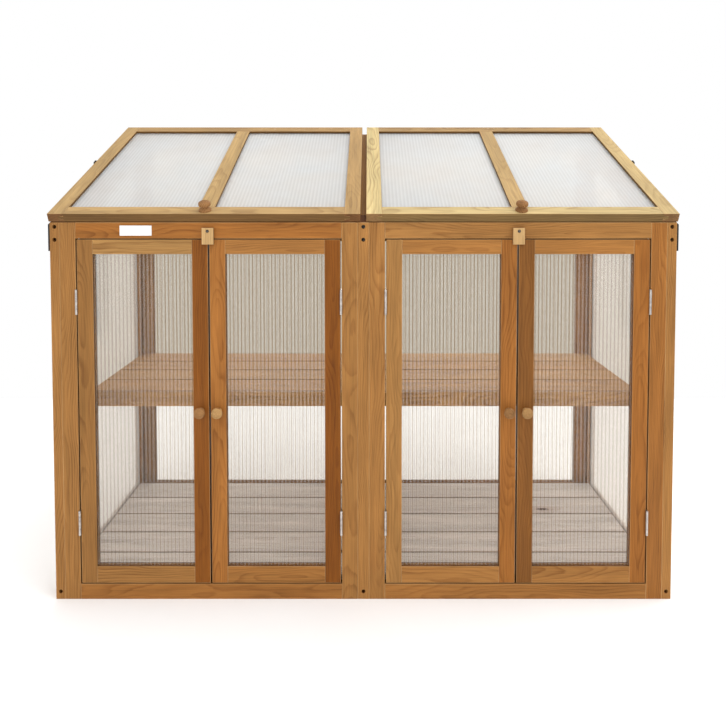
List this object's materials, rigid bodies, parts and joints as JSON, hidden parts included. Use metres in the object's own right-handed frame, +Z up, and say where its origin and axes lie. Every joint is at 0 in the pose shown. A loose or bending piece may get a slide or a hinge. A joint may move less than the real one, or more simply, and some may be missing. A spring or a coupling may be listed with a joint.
{
  "type": "cold frame",
  "caption": "Tall double wooden cold frame with sloping glazed lids, glazed doors, slatted shelves and floors.",
  "frame": {"origin": "centre of the underside, at the bottom centre of the whole object's box", "axes": "+X to the right as seen from the doors, +Y to the back, +Z up"},
  "size_m": [1.5264, 0.623, 1.1991],
  "materials": {
    "fir": "satin stained softwood",
    "grey_slats": "matt, dull",
    "pale_wood": "satin",
    "knob_wood": "satin, turned",
    "twin_wall_sheet": "clear, fluted",
    "steel": "zinc plated",
    "black_metal": "semi-matt",
    "white_plate": "smooth"
  },
  "bodies": {
    "cabinet": {"assembly_screws": "steel", "door_hinge_fixed_leaves": "steel", "door_stops": "fir", "floor_bearers": "fir", "hinge_boards": "fir", "left_back_frame": "fir", "left_back_pane": "twin_wall_sheet", "left_floor_slats": "grey_slats", "left_front_frame": "fir", "left_shelf_slats": "fir", "left_wall_pane": "twin_wall_sheet", "left_wall_posts": "fir", "left_wall_rails": "fir", "lid_hinge_fixed_leaves": "steel", "middle_wall_pane": "twin_wall_sheet", "middle_wall_posts": "fir", "middle_wall_rails": "fir", "name_plate": "white_plate", "right_back_frame": "fir", "right_back_pane": "twin_wall_sheet", "right_floor_slats": "grey_slats", "right_front_frame": "fir", "right_shelf_slats": "fir", "right_wall_pane": "twin_wall_sheet", "right_wall_posts": "fir", "right_wall_rails": "fir", "shelf_bearers": "fir", "stay_catches": "black_metal", "turn_button_screws": "steel"},
    "left_bay_left_door": {"left_bay_left_door_frame": "fir", "left_bay_left_door_pane": "twin_wall_sheet", "left_bay_left_door_knob": "knob_wood", "left_bay_left_door_hinge_leaves": "steel"},
    "left_bay_right_door": {"left_bay_right_door_frame": "fir", "left_bay_right_door_pane": "twin_wall_sheet", "left_bay_right_door_knob": "knob_wood", "left_bay_right_door_hinge_leaves": "steel"},
    "left_lid": {"left_lid_frame": "fir", "left_lid_panes": "twin_wall_sheet", "left_lid_knob": "knob_wood", "left_lid_hinge_leaves": "steel", "left_stay_pivot": "black_metal"},
    "left_turn_button": {"left_turn_button": "pale_wood"},
    "left_lid_stay": {"left_lid_stay": "black_metal"},
    "right_bay_left_door": {"right_bay_left_door_frame": "fir", "right_bay_left_door_pane": "twin_wall_sheet", "right_bay_left_door_knob": "knob_wood", "right_bay_left_door_hinge_leaves": "steel"},
    "right_bay_right_door": {"right_bay_right_door_frame": "fir", "right_bay_right_door_pane": "twin_wall_sheet", "right_bay_right_door_knob": "knob_wood", "right_bay_right_door_hinge_leaves": "steel"},
    "right_lid": {"right_lid_frame": "fir", "right_lid_panes": "twin_wall_sheet", "right_lid_knob": "knob_wood", "right_lid_hinge_leaves": "steel", "right_stay_pivot": "black_metal"},
    "right_turn_button": {"right_turn_button": "pale_wood"},
    "right_lid_stay": {"right_lid_stay": "black_metal"}
  },
  "joints": [
    {"name": "left_bay_left_door_hinge", "type": "hinge", "parent": "cabinet", "child": "left_bay_left_door", "pos_m": [-0.6875, -0.2878, 0.46], "axis": [0, 0, -1], "range_deg": [0, 170]},
    {"name": "left_bay_right_door_hinge", "type": "hinge", "parent": "cabinet", "child": "left_bay_right_door", "pos_m": [-0.0535, -0.2878, 0.46], "axis": [0, 0, 1], "range_deg": [0, 90]},
    {"name": "right_bay_left_door_hinge", "type": "hinge", "parent": "cabinet", "child": "right_bay_left_door", "pos_m": [0.0535, -0.2878, 0.46], "axis": [0, 0, -1], "range_deg": [0, 90]},
    {"name": "right_bay_right_door_hinge", "type": "hinge", "parent": "cabinet", "child": "right_bay_right_door", "pos_m": [0.6875, -0.2878, 0.46], "axis": [0, 0, 1], "range_deg": [0, 170]},
    {"name": "left_lid_hinge", "type": "hinge", "parent": "cabinet", "child": "left_lid", "pos_m": [-0.379, 0.27089, 1.1806], "axis": [-1, 0, 0], "range_deg": [0, 85]},
    {"name": "left_turn_button_pivot", "type": "hinge", "parent": "cabinet", "child": "left_turn_button", "pos_m": [-0.3705, -0.29, 0.9], "axis": [0, -1, 0], "range_deg": [-90, 90]},
    {"name": "left_stay_pivot_joint", "type": "hinge", "parent": "left_lid", "child": "left_lid_stay", "pos_m": [-0.7515, 0.01634, 1.07462], "axis": [-1, 0, 0], "range_deg": [-85, 55]},
    {"name": "right_lid_hinge", "type": "hinge", "parent": "cabinet", "child": "right_lid", "pos_m": [0.379, 0.27089, 1.1806], "axis": [-1, 0, 0], "range_deg": [0, 85]},
    {"name": "right_turn_button_pivot", "type": "hinge", "parent": "cabinet", "child": "right_turn_button", "pos_m": [0.3705, -0.29, 0.9], "axis": [0, -1, 0], "range_deg": [-90, 90]},
    {"name": "right_stay_pivot_joint", "type": "hinge", "parent": "right_lid", "child": "right_lid_stay", "pos_m": [0.7515, 0.01634, 1.07462], "axis": [-1, 0, 0], "range_deg": [-85, 55]}
  ]
}
